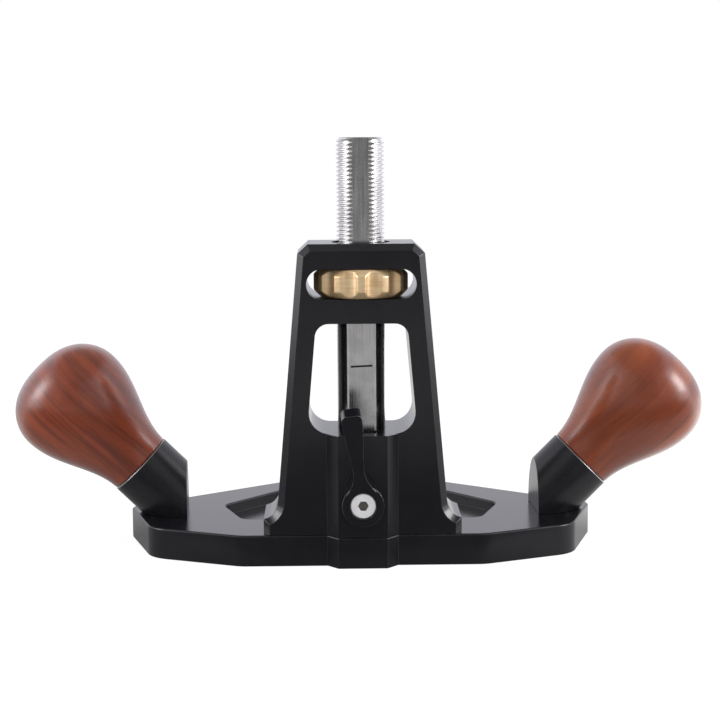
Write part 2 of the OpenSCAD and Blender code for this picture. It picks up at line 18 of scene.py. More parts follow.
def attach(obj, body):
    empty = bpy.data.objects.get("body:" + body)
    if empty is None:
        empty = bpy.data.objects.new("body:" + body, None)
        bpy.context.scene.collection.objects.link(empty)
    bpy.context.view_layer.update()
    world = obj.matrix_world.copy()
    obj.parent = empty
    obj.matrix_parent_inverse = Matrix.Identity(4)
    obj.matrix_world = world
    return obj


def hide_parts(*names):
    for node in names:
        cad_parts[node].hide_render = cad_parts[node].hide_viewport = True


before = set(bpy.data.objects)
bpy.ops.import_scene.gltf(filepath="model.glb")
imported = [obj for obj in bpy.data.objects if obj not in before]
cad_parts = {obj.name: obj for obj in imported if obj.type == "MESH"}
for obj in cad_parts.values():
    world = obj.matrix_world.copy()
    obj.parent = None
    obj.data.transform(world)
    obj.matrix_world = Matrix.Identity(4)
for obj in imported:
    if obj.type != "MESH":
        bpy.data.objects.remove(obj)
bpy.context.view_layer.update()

LOG = logging.getLogger("router_plane")
MM = 0.001

Point = tuple[float, float, float]
Span = tuple[float, float]
Height = Callable[[float], float]  # gives Z in mm for a turn angle from the back

NOISE_SPAN: Span = (0.3, 0.7)  # nearly all of a noise's values lie in it
MERGE_MM = 0.0005  # corners of a CAD mesh that lie closer become one
LEVEL_DEG = 0.3  # facets of a CAD mesh that turn by less become one face
SHARP_DEG = 28.0  # edges of a CAD mesh that turn by more are eased
EASED_CREASE_DEG = 50.0  # an eased piece stays sharp where it turns by more
TOOL_CREASE_DEG = 30.0  # and so does a tool that cuts a piece
LARGE_FACE_WEIGHT = 80  # above 50, the larger face counts for more at a corner
EDGE, LAID = 1, 2  # an eased piece's materials after its faces': its edges', and one for chosen faces


class Body(Enum):
    """The bodies of the frame that new pieces ride on."""

    FRAME = "frame"
    POST = "post"
    WHEEL = "wheel"
    LEVER = "lever"


class Slot(Enum):
    """The record's material slots, each named for a new piece but not used."""

    ANODISED = "black_anodised"
    BRIGHT = "bright_steel"
    BRASS = "brass"
    WOOD = "wood"


class Side(Enum):
    """The two handles, by the sign of their X."""

    LEFT = -1
    RIGHT = 1


# Colours and nodes

def linear(hex_colour: str) -> tuple[float, float, float, float]:
    """Turns an sRGB hex colour into linear light.

    Args:
        hex_colour: A colour such as "#8a4530".

    Returns:
        Red, green and blue, linear, and a full alpha.
    """
    parts = [int(hex_colour[i:i + 2], 16) / 255 for i in (1, 3, 5)]
    red, green, blue = (p / 12.92 if p <= 0.04045 else ((p + 0.055) / 1.055) ** 2.4 for p in parts)
    return red, green, blue, 1.0


def per_mm(size_mm: float) -> float:
    """Gives the pattern scale, in metres of object space, that repeats every size_mm."""
    return 1 / (size_mm * MM)


def add(tree: bpy.types.NodeTree, kind: str, inputs: dict[Any, Any] | None = None,
        **settings: Any) -> bpy.types.Node:
    """Adds a shader node with its settings and links.

    Args:
        tree: The node tree.
        kind: The node's type without its ShaderNode prefix.
        inputs: Values or output sockets, by input name or number.
        settings: The node's own properties.

    Returns:
        The new node.
    """
    node = tree.nodes.new(f"ShaderNode{kind}")
    for key, value in settings.items():
        setattr(node, key, value)
    for key, value in (inputs or {}).items():
        if isinstance(value, bpy.types.NodeSocket):
            tree.links.new(value, node.inputs[key])
        else:
            node.inputs[key].default_value = value
    return node


def empty_material(name: str) -> tuple[bpy.types.Material, bpy.types.NodeTree]:
    """Makes a node material with no nodes in it.

    Args:
        name: The material's name.

    Returns:
        The material and its tree.
    """
    material = bpy.data.materials.new(name)
    material.use_nodes = True
    material.node_tree.nodes.clear()
    return material, material.node_tree


# Finishes

@dataclass(frozen=True)
class BlastedAnodised:
    """Aluminium, bead blasted and anodised black.

    The dye is a near black with a faint cool cast. The blasted skin under a clear oxide gives a soft,
    wide gloss with a fine even grain; paler edges are partly thin worn oxide, partly a painted highlight.
    """

    name: str = "aluminium_bead_blasted_black_anodised"
    dark: str = "#100f14"
    pale: str = "#151419"
    ior: float = 1.5
    rough: Span = (0.16, 0.24)
    grain_mm: float = 0.45  # real beads leave about 0.1 mm, drawn coarser to show
    cloud_mm: float = 14.0
    cloud_span: Span = (0.35, 0.65)  # where in its noise the tone goes from dark to pale
    bump: float = 0.08
    bump_mm: float = 0.05

    def material(self) -> bpy.types.Material:
        """Builds the material.

        Returns:
            The material.
        """
        material, tree = empty_material(self.name)
        at = add(tree, "TexCoord").outputs["Object"]
        grain = add(tree, "TexNoise", {"Vector": at, "Scale": per_mm(self.grain_mm), "Detail": 2.0})
        cloud = add(tree, "TexNoise", {"Vector": at, "Scale": per_mm(self.cloud_mm), "Detail": 4.0})
        tone = add(tree, "MapRange", {"Value": cloud.outputs["Fac"], "From Min": self.cloud_span[0],
                                      "From Max": self.cloud_span[1]})
        colour = add(tree, "Mix", {0: tone.outputs["Result"], 6: linear(self.dark),
                                   7: linear(self.pale)}, data_type="RGBA")
        rough = add(tree, "MapRange", {
            "Value": grain.outputs["Fac"], "From Min": NOISE_SPAN[0], "From Max": NOISE_SPAN[1],
            "To Min": self.rough[0], "To Max": self.rough[1]})
        bump = add(tree, "Bump", {"Height": grain.outputs["Fac"], "Strength": self.bump,
                                  "Distance": self.bump_mm * MM})
        shader = add(tree, "BsdfPrincipled", {
            "Base Color": colour.outputs[2], "Roughness": rough.outputs["Result"],
            "Normal": bump.outputs["Normal"], "IOR": self.ior})
        add(tree, "OutputMaterial", {"Surface": shader.outputs[0]})
        return material


@dataclass(frozen=True)
class TurnedMetal:
    """A metal with a fine lathe or grinder finish.

    The tool leaves faint parallel lines a fraction of a millimetre apart, which draw the reflections
    out across them, and the tone drifts slightly from band to band.
    """

    name: str
    dark: str
    pale: str
    rough: Span
    line_mm: float = 0.3  # real feed lines are about 0.1 mm, drawn coarser to show
    along: Point = (0.04, 0.04, 1.0)  # how fast the pattern changes along each axis
    cloud_mm: float = 6.0
    tone_span: Span = (0.15, 0.36)  # where in lines times cloud the tone goes from dark to pale
    bump: float = 0.1
    bump_mm: float = 0.03
    metallic: float = 1.0

    def material(self) -> bpy.types.Material:
        """Builds the material.

        Returns:
            The material.
        """
        material, tree = empty_material(self.name)
        at = add(tree, "TexCoord").outputs["Object"]
        stretched = add(tree, "Mapping", {"Vector": at, "Scale": self.along})
        lines = add(tree, "TexNoise", {"Vector": stretched.outputs[0], "Scale": per_mm(self.line_mm),
                                       "Detail": 3.0})
        cloud = add(tree, "TexNoise", {"Vector": at, "Scale": per_mm(self.cloud_mm), "Detail": 3.0})
        tone = add(tree, "Math", {0: lines.outputs["Fac"], 1: cloud.outputs["Fac"]},
                   operation="MULTIPLY")
        share = add(tree, "MapRange", {"Value": tone.outputs[0], "From Min": self.tone_span[0],
                                       "From Max": self.tone_span[1]})
        colour = add(tree, "Mix", {0: share.outputs["Result"], 6: linear(self.dark),
                                   7: linear(self.pale)}, data_type="RGBA")
        rough = add(tree, "MapRange", {
            "Value": lines.outputs["Fac"], "From Min": NOISE_SPAN[0], "From Max": NOISE_SPAN[1],
            "To Min": self.rough[0], "To Max": self.rough[1]})
        bump = add(tree, "Bump", {"Height": lines.outputs["Fac"], "Strength": self.bump,
                                  "Distance": self.bump_mm * MM})
        shader = add(tree, "BsdfPrincipled", {
            "Base Color": colour.outputs[2], "Roughness": rough.outputs["Result"],
            "Normal": bump.outputs["Normal"], "Metallic": self.metallic})
        add(tree, "OutputMaterial", {"Surface": shader.outputs[0]})
        return material


@dataclass(frozen=True)
class TurnedHardwood:
    """A reddish-brown hardwood, turned on the lathe, sanded and polished under a clear varnish.

    The growth layers stand on edge to the front, so their lines run the length of the knob: broad
    drifting bands of red and brown, soft dark streaks, fine lines and short pores. The varnish gives a
    clear, soft gloss over it. Pattern sizes go across the layers, into them and along the grain. A span
    says where in its noise a mark starts and where it is full.
    """

    name: str = "hardwood_turned_and_varnished"
    red: str = "#83371a"
    brown: str = "#612611"
    streak: str = "#45190e"
    band_mm: Point = (9.0, 34.0, 150.0)
    streak_mm: Point = (3.2, 20.0, 110.0)
    line_mm: Point = (0.8, 7.0, 60.0)
    pore_mm: Point = (0.3, 0.5, 3.5)
    band_span: Span = (0.38, 0.62)
    streak_span: Span = (0.5, 0.68)
    line_span: Span = (0.5, 0.66)  # higher is rarer
    pore_span: Span = (0.58, 0.72)
    streaks: float = 0.5  # how dark each mark gets, as a share of the streak's colour
    lines: float = 0.3
    pores: float = 0.4
    wander: float = 0.3  # how far the grain strays from straight
    rough: Span = (0.34, 0.46)
    bump: float = 0.15
    bump_mm: float = 0.05
    ior: float = 1.5
    specular: float = 0.2  # the wood's own gloss, under the varnish
    coat: float = 1.0
    coat_rough: float = 0.26
    seed: float = 0.0  # which piece of the log
    seat: Point = (0.0, 0.0, 0.0)  # where the grain's own frame stands, in metres
    turn: Point = (0.0, 0.0, 0.0)  # and how it is turned

    def material(self) -> bpy.types.Material:
        """Builds the material.

        Returns:
            The material.
        """
        material, tree = empty_material(self.name)
        at = add(tree, "TexCoord").outputs["Object"]
        moved = add(tree, "Mapping", {"Vector": at, "Location": self.seat, "Rotation": self.turn},
                    vector_type="TEXTURE")
        noises = []
        for size, detail in ((self.band_mm, 3.0), (self.streak_mm, 2.0), (self.line_mm, 2.0),
                             (self.pore_mm, 1.0)):
            stretched = add(tree, "Mapping", {"Vector": moved.outputs[0],
                                              "Scale": tuple(per_mm(side) for side in size)})
            noises.append(add(tree, "TexNoise", {
                "Vector": stretched.outputs[0], "W": self.seed, "Scale": 1.0, "Detail": detail,
                "Distortion": self.wander}, noise_dimensions="4D"))
        band, streak, line, pore = (noise.outputs["Fac"] for noise in noises)
        bands = add(tree, "MapRange", {"Value": band, "From Min": self.band_span[0],
                                       "From Max": self.band_span[1]}, interpolation_type="SMOOTHSTEP")
        colour = add(tree, "Mix", {0: bands.outputs["Result"], 6: linear(self.brown),
                                   7: linear(self.red)}, data_type="RGBA")
        for noise, span, share in ((streak, self.streak_span, self.streaks),
                                   (line, self.line_span, self.lines),
                                   (pore, self.pore_span, self.pores)):
            marks = add(tree, "MapRange", {"Value": noise, "From Min": span[0], "From Max": span[1],
                                           "To Max": share}, interpolation_type="SMOOTHSTEP")
            colour = add(tree, "Mix", {0: marks.outputs["Result"], 6: colour.outputs[2],
                                       7: linear(self.streak)}, data_type="RGBA")
        rough = add(tree, "MapRange", {
            "Value": pore, "From Min": NOISE_SPAN[0], "From Max": NOISE_SPAN[1],
            "To Min": self.rough[0], "To Max": self.rough[1]})
        # the last marks are the pores, which lie lower than the wood round them
        bump = add(tree, "Bump", {"Height": marks.outputs["Result"], "Strength": self.bump,
                                  "Distance": self.bump_mm * MM}, invert=True)
        shader = add(tree, "BsdfPrincipled", {
            "Base Color": colour.outputs[2], "Roughness": rough.outputs["Result"],
            "Normal": bump.outputs["Normal"], "IOR": self.ior, "Specular IOR Level": self.specular,
            "Coat Weight": self.coat, "Coat Roughness": self.coat_rough})
        add(tree, "OutputMaterial", {"Surface": shader.outputs[0]})
        return material


class Finishes:
    """Every material of the plane but the wood, built once."""

    def __init__(self) -> None:
        """Builds the materials."""
        even = (1.0, 1.0, 1.0)  # a finish with no lines in any one direction
        self.anodised = BlastedAnodised().material()
        # the oxide is thinner over an edge, and its paler colour there is also a painted highlight along
        # the edge
        self.anodised_edge_wear_and_highlight = BlastedAnodised(
            name="aluminium_black_anodised_worn_edge", dark="#131317", pale="#222227",
            rough=(0.24, 0.3)).material()
        # turned before it was blasted, so it spreads reflections more than the milled faces
        self.anodised_turned = BlastedAnodised(
            name="aluminium_turned_blasted_black_anodised", rough=(0.27, 0.35)).material()
        # ground along its length, so its fine lines run up and down
        self.bright = TurnedMetal("steel_ground_bright", "#d4d2d2", "#f0eeee", (0.2, 0.28), line_mm=0.5,
                                  along=(1.0, 1.0, 0.03)).material()
        # a dull plating, nearly as pale and even as paint
        self.plated = TurnedMetal("steel_screw_zinc_plated_matt", "#dfdee1", "#edecef", (0.45, 0.55),
                                  along=even, metallic=0.4).material()
        # the broach leaves the hexagon rougher, and its darker colour is painted shade in the recess
        self.socket_steel = TurnedMetal("steel_screw_hexagon_painted_shade", "#96928a", "#b4b0a8",
                                        (0.4, 0.5), along=even).material()
        # the black is worn thin along the lever's edges, so bare metal shows in places, and its brightness
        # there is also a painted highlight
        self.worn_edge_highlight = TurnedMetal("aluminium_worn_bare_along_edges", "#64646a", "#c8c8ce", (0.3, 0.4),
                                along=even).material()
        # bright bare metal laid on chosen faces as a painted highlight, as bright as the steel
        self.painted_highlight_metal = TurnedMetal("aluminium_bright_painted_highlight", "#bcbcc0", "#e2e2e6", (0.3, 0.4),
                                  along=even).material()
        # a thin black film with a dull gloss
        self.oxide = BlastedAnodised(
            name="steel_black_oxide", dark="#131315", pale="#1d1d20", rough=(0.3, 0.4)).material()
        # hardened grey, with the lines of the grinder round it
        self.tool = TurnedMetal("steel_tool_hardened_and_ground", "#8f8d8a", "#bcb9b4",
                                (0.25, 0.4)).material()
        # a warm satin, with the fine lines of the turning tool
        self.brass = TurnedMetal("brass_turned_satin", "#e7c08f", "#f8dcb2", (0.32, 0.42),
                                 metallic=0.75).material()


# Meshes

def new_piece(name: str, bm: bmesh.types.BMesh, materials: Sequence[bpy.types.Material],
              crease_deg: float) -> bpy.types.Object:
    """Makes a piece from a bmesh, shaded smooth up to a crease angle.

    Args:
        name: The piece's name.
        bm: The mesh, which is freed.
        materials: The piece's materials in order.
        crease_deg: Edges that turn by more stay sharp.

    Returns:
        The piece, linked to the scene.
    """
    bmesh.ops.recalc_face_normals(bm, faces=bm.faces)
    mesh = bpy.data.meshes.new(name)
    bm.to_mesh(mesh)
    bm.free()
    mesh.polygons.foreach_set("use_smooth", [True] * len(mesh.polygons))
    mesh.set_sharp_from_angle(angle=math.radians(crease_deg))
    for material in materials:
        mesh.materials.append(material)
    piece = bpy.data.objects.new(name, mesh)
    bpy.context.scene.collection.objects.link(piece)
    return piece


def eased_copy(node: str, edge_mm: float, materials: Sequence[bpy.types.Material]) -> bpy.types.Object:
    """Copies a CAD node's mesh and eases its sharp edges with a narrow round.

    The large faces stay flat up to the round: shading follows the larger face at each corner.

    Args:
        node: The CAD node.
        edge_mm: How wide the round is.
        materials: The faces' material, the edges', and one that a caller may lay on chosen faces.

    Returns:
        The new piece, named for the node.
    """
    bm = bmesh.new()
    bm.from_mesh(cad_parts[node].data)
    for face in bm.faces:
        face.material_index = 0
    bmesh.ops.remove_doubles(bm, verts=bm.verts, dist=MERGE_MM * MM)
    bmesh.ops.dissolve_limit(bm, angle_limit=math.radians(LEVEL_DEG), verts=bm.verts, edges=bm.edges,
                             delimit=set())
    sharp = [e for e in bm.edges
             if e.is_manifold and e.calc_face_angle(0.0) > math.radians(SHARP_DEG)]
    bmesh.ops.bevel(bm, geom=sharp, offset=edge_mm * MM, offset_type="OFFSET", segments=2, profile=0.5,
                    affect="EDGES", clamp_overlap=False, material=EDGE, miter_outer="SHARP",
                    miter_inner="SHARP")
    piece = new_piece(f"{node}_dressed", bm, materials, EASED_CREASE_DEG)
    level = piece.modifiers.new("faces_stay_flat", "WEIGHTED_NORMAL")
    level.mode, level.weight, level.keep_sharp = "FACE_AREA", LARGE_FACE_WEIGHT, True
    return piece


def skin(bm: bmesh.types.BMesh, rings: Sequence[Sequence[bmesh.types.BMVert]]) -> None:
    """Joins each closed ring of vertices to the next with faces.

    Args:
        bm: The mesh that holds the vertices.
        rings: Rings of equal length. A ring may repeat one vertex.
    """
    for low, high in zip(rings, rings[1:]):
        for i in range(len(low)):
            j = (i + 1) % len(low)
            corners = list(dict.fromkeys((low[i], low[j], high[j], high[i])))
            if len(corners) > 2:
                bm.faces.new(corners)


def turned(name: str, profile: Sequence[Span], steps: int, materials: Sequence[bpy.types.Material],
           crease_deg: float) -> bpy.types.Object:
    """Turns a profile about the local Z axis.

    Args:
        name: The piece's name.
        profile: Radius and height in mm, from one end on the axis to the other.
        steps: How many columns go round.
        materials: The piece's materials.
        crease_deg: Edges that turn by more stay sharp.

    Returns:
        The new piece.
    """
    bm = bmesh.new()
    rings = []
    for radius, height in profile:
        if radius == 0.0:
            rings.append([bm.verts.new((0, 0, height * MM))] * steps)
        else:
            rings.append([bm.verts.new((radius * MM * math.cos(math.tau * i / steps),
                                        radius * MM * math.sin(math.tau * i / steps), height * MM))
                          for i in range(steps)])
    skin(bm, rings)
    return new_piece(name, bm, materials, crease_deg)


def cut_away(piece: bpy.types.Object, tool: bpy.types.Object, crease_deg: float) -> None:
    """Cuts a tool's shape out of a piece and removes the tool.

    Args:
        piece: The piece to cut.
        tool: A closed mesh.
        crease_deg: Edges that turn by more are sharp, those of the cut too.
    """
    cut = piece.modifiers.new("cut", "BOOLEAN")
    cut.operation, cut.solver, cut.object = "DIFFERENCE", "EXACT", tool
    graph = bpy.context.evaluated_depsgraph_get()
    whole = piece.data
    piece.data = bpy.data.meshes.new_from_object(piece.evaluated_get(graph))
    piece.data.set_sharp_from_angle(angle=math.radians(crease_deg))
    piece.modifiers.clear()
    bpy.data.objects.remove(tool)
    bpy.data.meshes.remove(whole)


def mount(piece: bpy.types.Object, body: Body, slot: Slot, *nodes: str) -> None:
    """Lets a piece ride on a body, in the place of CAD nodes.

    Args:
        piece: The piece, in place.
        body: The body that carries it.
        slot: The record's slot for its finish; not used.
        nodes: The CAD nodes that it stands for.
    """
    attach(piece, body.value)
    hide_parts(*nodes)
    LOG.info("%s rides on %s for %s", piece.name, body.value, ", ".join(nodes))


def dress(node: str, material: bpy.types.Material) -> None:
    """Gives a CAD node that stays in view its material.

    Args:
        node: The CAD node.
        material: Its one material.
    """
    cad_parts[node].data.materials.clear()
    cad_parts[node].data.materials.append(material)
    LOG.info("%s keeps its solid", node)


# Sub-assemblies

@dataclass
class BodyCastings:
    """The base plate and the column with their fasteners."""

    plate_edge: float = 0.2
    column_edge: float = 0.12

    def build(self, finishes: Finishes) -> None:
        """Eases the machined edges and dresses the fasteners.

        Args:
            finishes: The materials.
        """
        # the edges' paler black is partly thin worn oxide and partly a painted highlight
        black = (finishes.anodised, finishes.anodised_edge_wear_and_highlight)
        for node, edge in (("base_plate", self.plate_edge), ("tower", self.column_edge)):
            mount(eased_copy(node, edge, black), Body.FRAME, Slot.ANODISED, node)
        dress("tower_screws", finishes.oxide)
        dress("tower_dowels", finishes.bright)


@dataclass
class FeedPost:
    """The threaded post with a flat down its front, and the cutter in its lower end."""

    axis_y: float = 13.0
    radius: float = 8.0
    flat: float = 6.614  # from the axis to the flat
    low: float = 24.0
    high: float = 141.4
    low_chamfer: float = 0.8
    end_chamfer: float = 1.2
    thread_low: float = 84.0
    pitch: float = 1.41
    depth: float = 0.865
    root: float = 0.22  # the thread's root and each of its flanks, as shares of the pitch
    flank: float = 0.33
    seat_radius: float = 4.02
    seat_top: float = 39.0
    bore_radius: float = 2.52  # the grub screw's hole, from the back
    bore_z: float = 31.5
    bore_steps: int = 48
    line_z: float = 66.15  # the engraved witness line on the flat, its groove painted black as shade
    line_width: float = 7.2
    line_height: float = 0.5
    line_depth: float = 0.32
    line_foot: float = 0.25  # its height at the bottom of the wedge, as a share
    line_rise_deg: float = 2.5
    groove_shade_index: int = 1  # which of the post's materials it takes, a black painted shade
    flat_ease: float = 0.35  # the eased edges of the flat
    closing_deg: float = 20.0  # half the arc that closes a full ring at the front
    crease_deg: float = 12.0
    round_steps: int = 88
    flat_steps: int = 6
    merge: float = 0.002  # corners that lie closer become one

    def vertices(self, bm: bmesh.types.BMesh, points: Sequence[Point]) -> list[bmesh.types.BMVert]:
        """Adds points in mm, X and Y from the post's axis, to a mesh in metres."""
        return [bm.verts.new((x * MM, (y + self.axis_y) * MM, z * MM)) for x, y, z in points]

    def ring(self, bm: bmesh.types.BMesh, radius: float, z: float) -> list[bmesh.types.BMVert]:
        """Makes one level ring, round the back from one edge of the flat to the other and across it.

        Args:
            bm: The mesh.
            radius: The ring's radius in mm. One smaller than the flat's distance is a full circle.
            z: The ring's height in mm.

        Returns:
            The ring's vertices.
        """
        flattened = radius > self.flat
        edge = math.acos(self.flat / radius) if flattened else math.radians(self.closing_deg)
        eased = self.flat_ease if flattened else 0.0
        reach = math.pi - edge - eased / radius
        points = []
        for i in range(self.round_steps + 1):
            turn = reach * (2 * i / self.round_steps - 1)
            points.append((-radius * math.sin(turn), radius * math.cos(turn), z))
        for i in range(1, self.flat_steps):
            if flattened:
                share = (i - 1) / (self.flat_steps - 2)
                side = (radius * math.sin(edge) - eased) * (2 * share - 1)
                points.append((side, -self.flat, z))
            else:
                turn = reach + 2 * edge * i / self.flat_steps
                points.append((-radius * math.sin(turn), radius * math.cos(turn), z))
        return self.vertices(bm, points)

    def thread_radius(self, phase: float, z: float) -> float:
        """Gives the thread's radius, with its run-in and the chamfer of the post's end.

        Args:
            phase: The share of the pitch.
            z: The height in mm.

        Returns:
            The radius in mm.
        """
        rise, fall = (phase - self.root) / self.flank, (1.0 - phase) / self.flank
        crest = min(1.0, max(0.0, min(rise, fall)))
        run_in = min(1.0, max(0.0, (z - self.thread_low) / self.pitch))
        radius = self.radius - self.depth * (1 - crest) * run_in
        return min(radius, self.radius - self.end_chamfer + (self.high - z))

    def thread_ring(self, bm: bmesh.types.BMesh, phase: float, height: Height) -> list[bmesh.types.BMVert]:
        """Makes one ring of the thread, whose radius may change where the thread starts or ends.

        Args:
            bm: The mesh.
            phase: The ring's share of the pitch.
            height: Gives Z in mm for a turn angle from the back.

        Returns:
            The ring's vertices.
        """
        points = []
        full = self.thread_radius(phase, height(0.0))
        reach = math.pi - math.acos(self.flat / full)
        for i in range(self.round_steps + 1):
            turn = reach * (2 * i / self.round_steps - 1)
            radius = self.thread_radius(phase, height(turn))
            limit = math.pi - math.acos(self.flat / radius)
            if i in (0, self.round_steps) or abs(turn) > limit:
                turn = math.copysign(limit, turn)
            points.append((-radius * math.sin(turn), radius * math.cos(turn), height(turn)))
        first, last = points[0], points[-1]
        for i in range(1, self.flat_steps):
            share = i / self.flat_steps
            points.append(tuple(a + (b - a) * share for a, b in zip(last, first)))
        return self.vertices(bm, points)

    def helix(self, middle: float) -> Height:
        """Gives the height along one line of the helix.

        Args:
            middle: The line's height in mm at the back.

        Returns:
            The height for a turn angle, kept on the threaded length.
        """
        def height(turn: float) -> float:
            """Gives the height at a turn angle."""
            return min(self.high, max(self.thread_low, middle + self.pitch * turn / math.tau))

        return height

    def bore_tool(self, finishes: Finishes) -> bpy.types.Object:
        """Makes the rod that bores the grub screw's hole into the cutter's seat.

        Args:
            finishes: The materials.

        Returns:
            The rod.
        """
        bm = bmesh.new()
        turns = [math.tau * i / self.bore_steps for i in range(self.bore_steps)]
        ends = [[bm.verts.new((self.bore_radius * math.cos(turn) * MM, y * MM,
                               (self.bore_z + self.bore_radius * math.sin(turn)) * MM))
                 for turn in turns] for y in (self.axis_y, self.axis_y + 2 * self.radius)]
        skin(bm, ends)
        for end in ends:
            bm.faces.new(end)
        return new_piece("bore_tool", bm, (finishes.bright,), TOOL_CREASE_DEG)

    def witness_tool(self, finishes: Finishes) -> bpy.types.Object:
        """Makes the wedge that engraves the witness line, which rises a little to the right.

        Args:
            finishes: The materials.

        Returns:
            The wedge, which paints the line's groove black as shade.
        """
        half, depth, tall = self.line_width / 2, self.line_depth, self.line_height
        foot = tall * self.line_foot
        rise = half * math.tan(math.radians(self.line_rise_deg))
        front = self.axis_y - self.flat
        bm = bmesh.new()
        ends = []
        for side in (-1, 1):
            middle = self.line_z + side * rise
            ends.append([bm.verts.new((side * half * MM, y * MM, z * MM)) for y, z in (
                (front - depth, middle - tall), (front - depth, middle + tall),
                (front + depth, middle + foot), (front + depth, middle - foot))])
        skin(bm, ends)
        for end in ends:
            bm.faces.new(end)
        # the groove takes a black painted shade
        for face in bm.faces:
            face.material_index = self.groove_shade_index
        return new_piece("witness_tool", bm, (finishes.bright, finishes.oxide), TOOL_CREASE_DEG)

    def post(self, finishes: Finishes) -> bpy.types.Object:
        """Builds the post with its helical thread, and cuts the witness line and the bore.

        Args:
            finishes: The materials.

        Returns:
            The post.
        """
        bm = bmesh.new()
        rings = [self.ring(bm, radius, z) for radius, z in (
            (self.seat_radius, self.seat_top), (self.seat_radius, self.low),
            (self.radius - self.low_chamfer, self.low), (self.radius, self.low + self.low_chamfer),
            (self.radius, self.thread_low))]
        phases = (0.0, self.root, self.root + self.flank, 1.0 - self.flank)
        # the helix starts a turn below its length and ends above it, and its height is kept on it
        turns = int((self.high - self.thread_low) / self.pitch) + 2
        for turn_number in range(-1, turns):
            for phase in phases:
                middle = self.thread_low + (turn_number + phase) * self.pitch
                rings.append(self.thread_ring(bm, phase, self.helix(middle)))
        bm.faces.new(rings[0])
        bm.faces.new(rings[-1])
        skin(bm, rings)
        bmesh.ops.remove_doubles(bm, verts=bm.verts, dist=self.merge * MM)
        post = new_piece("threaded_post_dressed", bm, (finishes.bright, finishes.oxide), self.crease_deg)
        cut_away(post, self.witness_tool(finishes), self.crease_deg)
        cut_away(post, self.bore_tool(finishes), self.crease_deg)
        return post

    def build(self, finishes: Finishes) -> None:
        """Builds the post and dresses the cutter.

        Args:
            finishes: The materials.
        """
        mount(self.post(finishes), Body.POST, Slot.BRIGHT, "threaded_post")
        dress("cutter", finishes.tool)
        dress("cutter_grub_screw", finishes.oxide)


@dataclass
class FeedWheel:
    """The fluted brass wheel in the column's slot."""

    edge: float = 0.3

    def build(self, finishes: Finishes) -> None:
        """Eases the wheel's edges."""
        wheel = eased_copy("adjuster_wheel", self.edge, (finishes.brass, finishes.brass))
        mount(wheel, Body.WHEEL, Slot.BRASS, "adjuster_wheel")


@dataclass
class PostClamp:
    """The lock lever with its screw and spindle, and the shoe that bears on the post's flat."""

    lever_edge: float = 0.07  # a wider round would run into the screw's bore
    highlight_tip: float = 2.4  # how far down the tip's corner the painted highlight reaches
    highlight_left: float = 0.3  # the painted highlight's faces look at least this much to the left, and up
    highlight_up: float = 0.15
    screw_edge: float = 0.12
    pivot_z: float = 22.5
    head_front: float = -10.25
    hexagon: float = 1.75  # radius round the key's hexagon

    def lever(self, finishes: Finishes) -> bpy.types.Object:
        """Eases the lever and paints a highlight of bright metal on the rounded left corner of its tip.

        Args:
            finishes: The materials.

        Returns:
            The lever.
        """
        # the lever's pale edges are partly worn bare metal and partly a painted highlight
        lever = eased_copy("lock_lever", self.lever_edge,
                           (finishes.anodised, finishes.worn_edge_highlight, finishes.painted_highlight_metal))
        top = max(vertex.co.z for vertex in lever.data.vertices)
        for face in lever.data.polygons:
            # faces of the tip's corner that look left and up take a painted highlight
            at_corner = face.normal.x < -self.highlight_left and face.normal.z > self.highlight_up
            if at_corner and face.center.z > top - self.highlight_tip * MM:
                face.material_index = LAID
        return lever

    def screw(self, finishes: Finishes) -> bpy.types.Object:
        """Eases the lever's screw and paints shade into its hexagon.

        Args:
            finishes: The materials.

        Returns:
            The screw.
        """
        screw = eased_copy("lever_screw", self.screw_edge,
                           (finishes.plated, finishes.plated, finishes.socket_steel))
        # the faces inside the hexagon take painted shade
        for face in screw.data.polygons:
            across = math.hypot(face.center.x, face.center.z - self.pivot_z * MM)
            if across < self.hexagon * MM and face.center.y > (self.head_front + self.screw_edge) * MM:
                face.material_index = LAID
        return screw

    def build(self, finishes: Finishes) -> None:
        """Builds the lever and its screw, and dresses the hidden clamp.

        Args:
            finishes: The materials.
        """
        mount(self.lever(finishes), Body.LEVER, Slot.ANODISED, "lock_lever")
        mount(self.screw(finishes), Body.LEVER, Slot.BRIGHT, "lever_screw")
        dress("clamp_spindle", finishes.oxide)
        dress("clamp_shoe", finishes.brass)


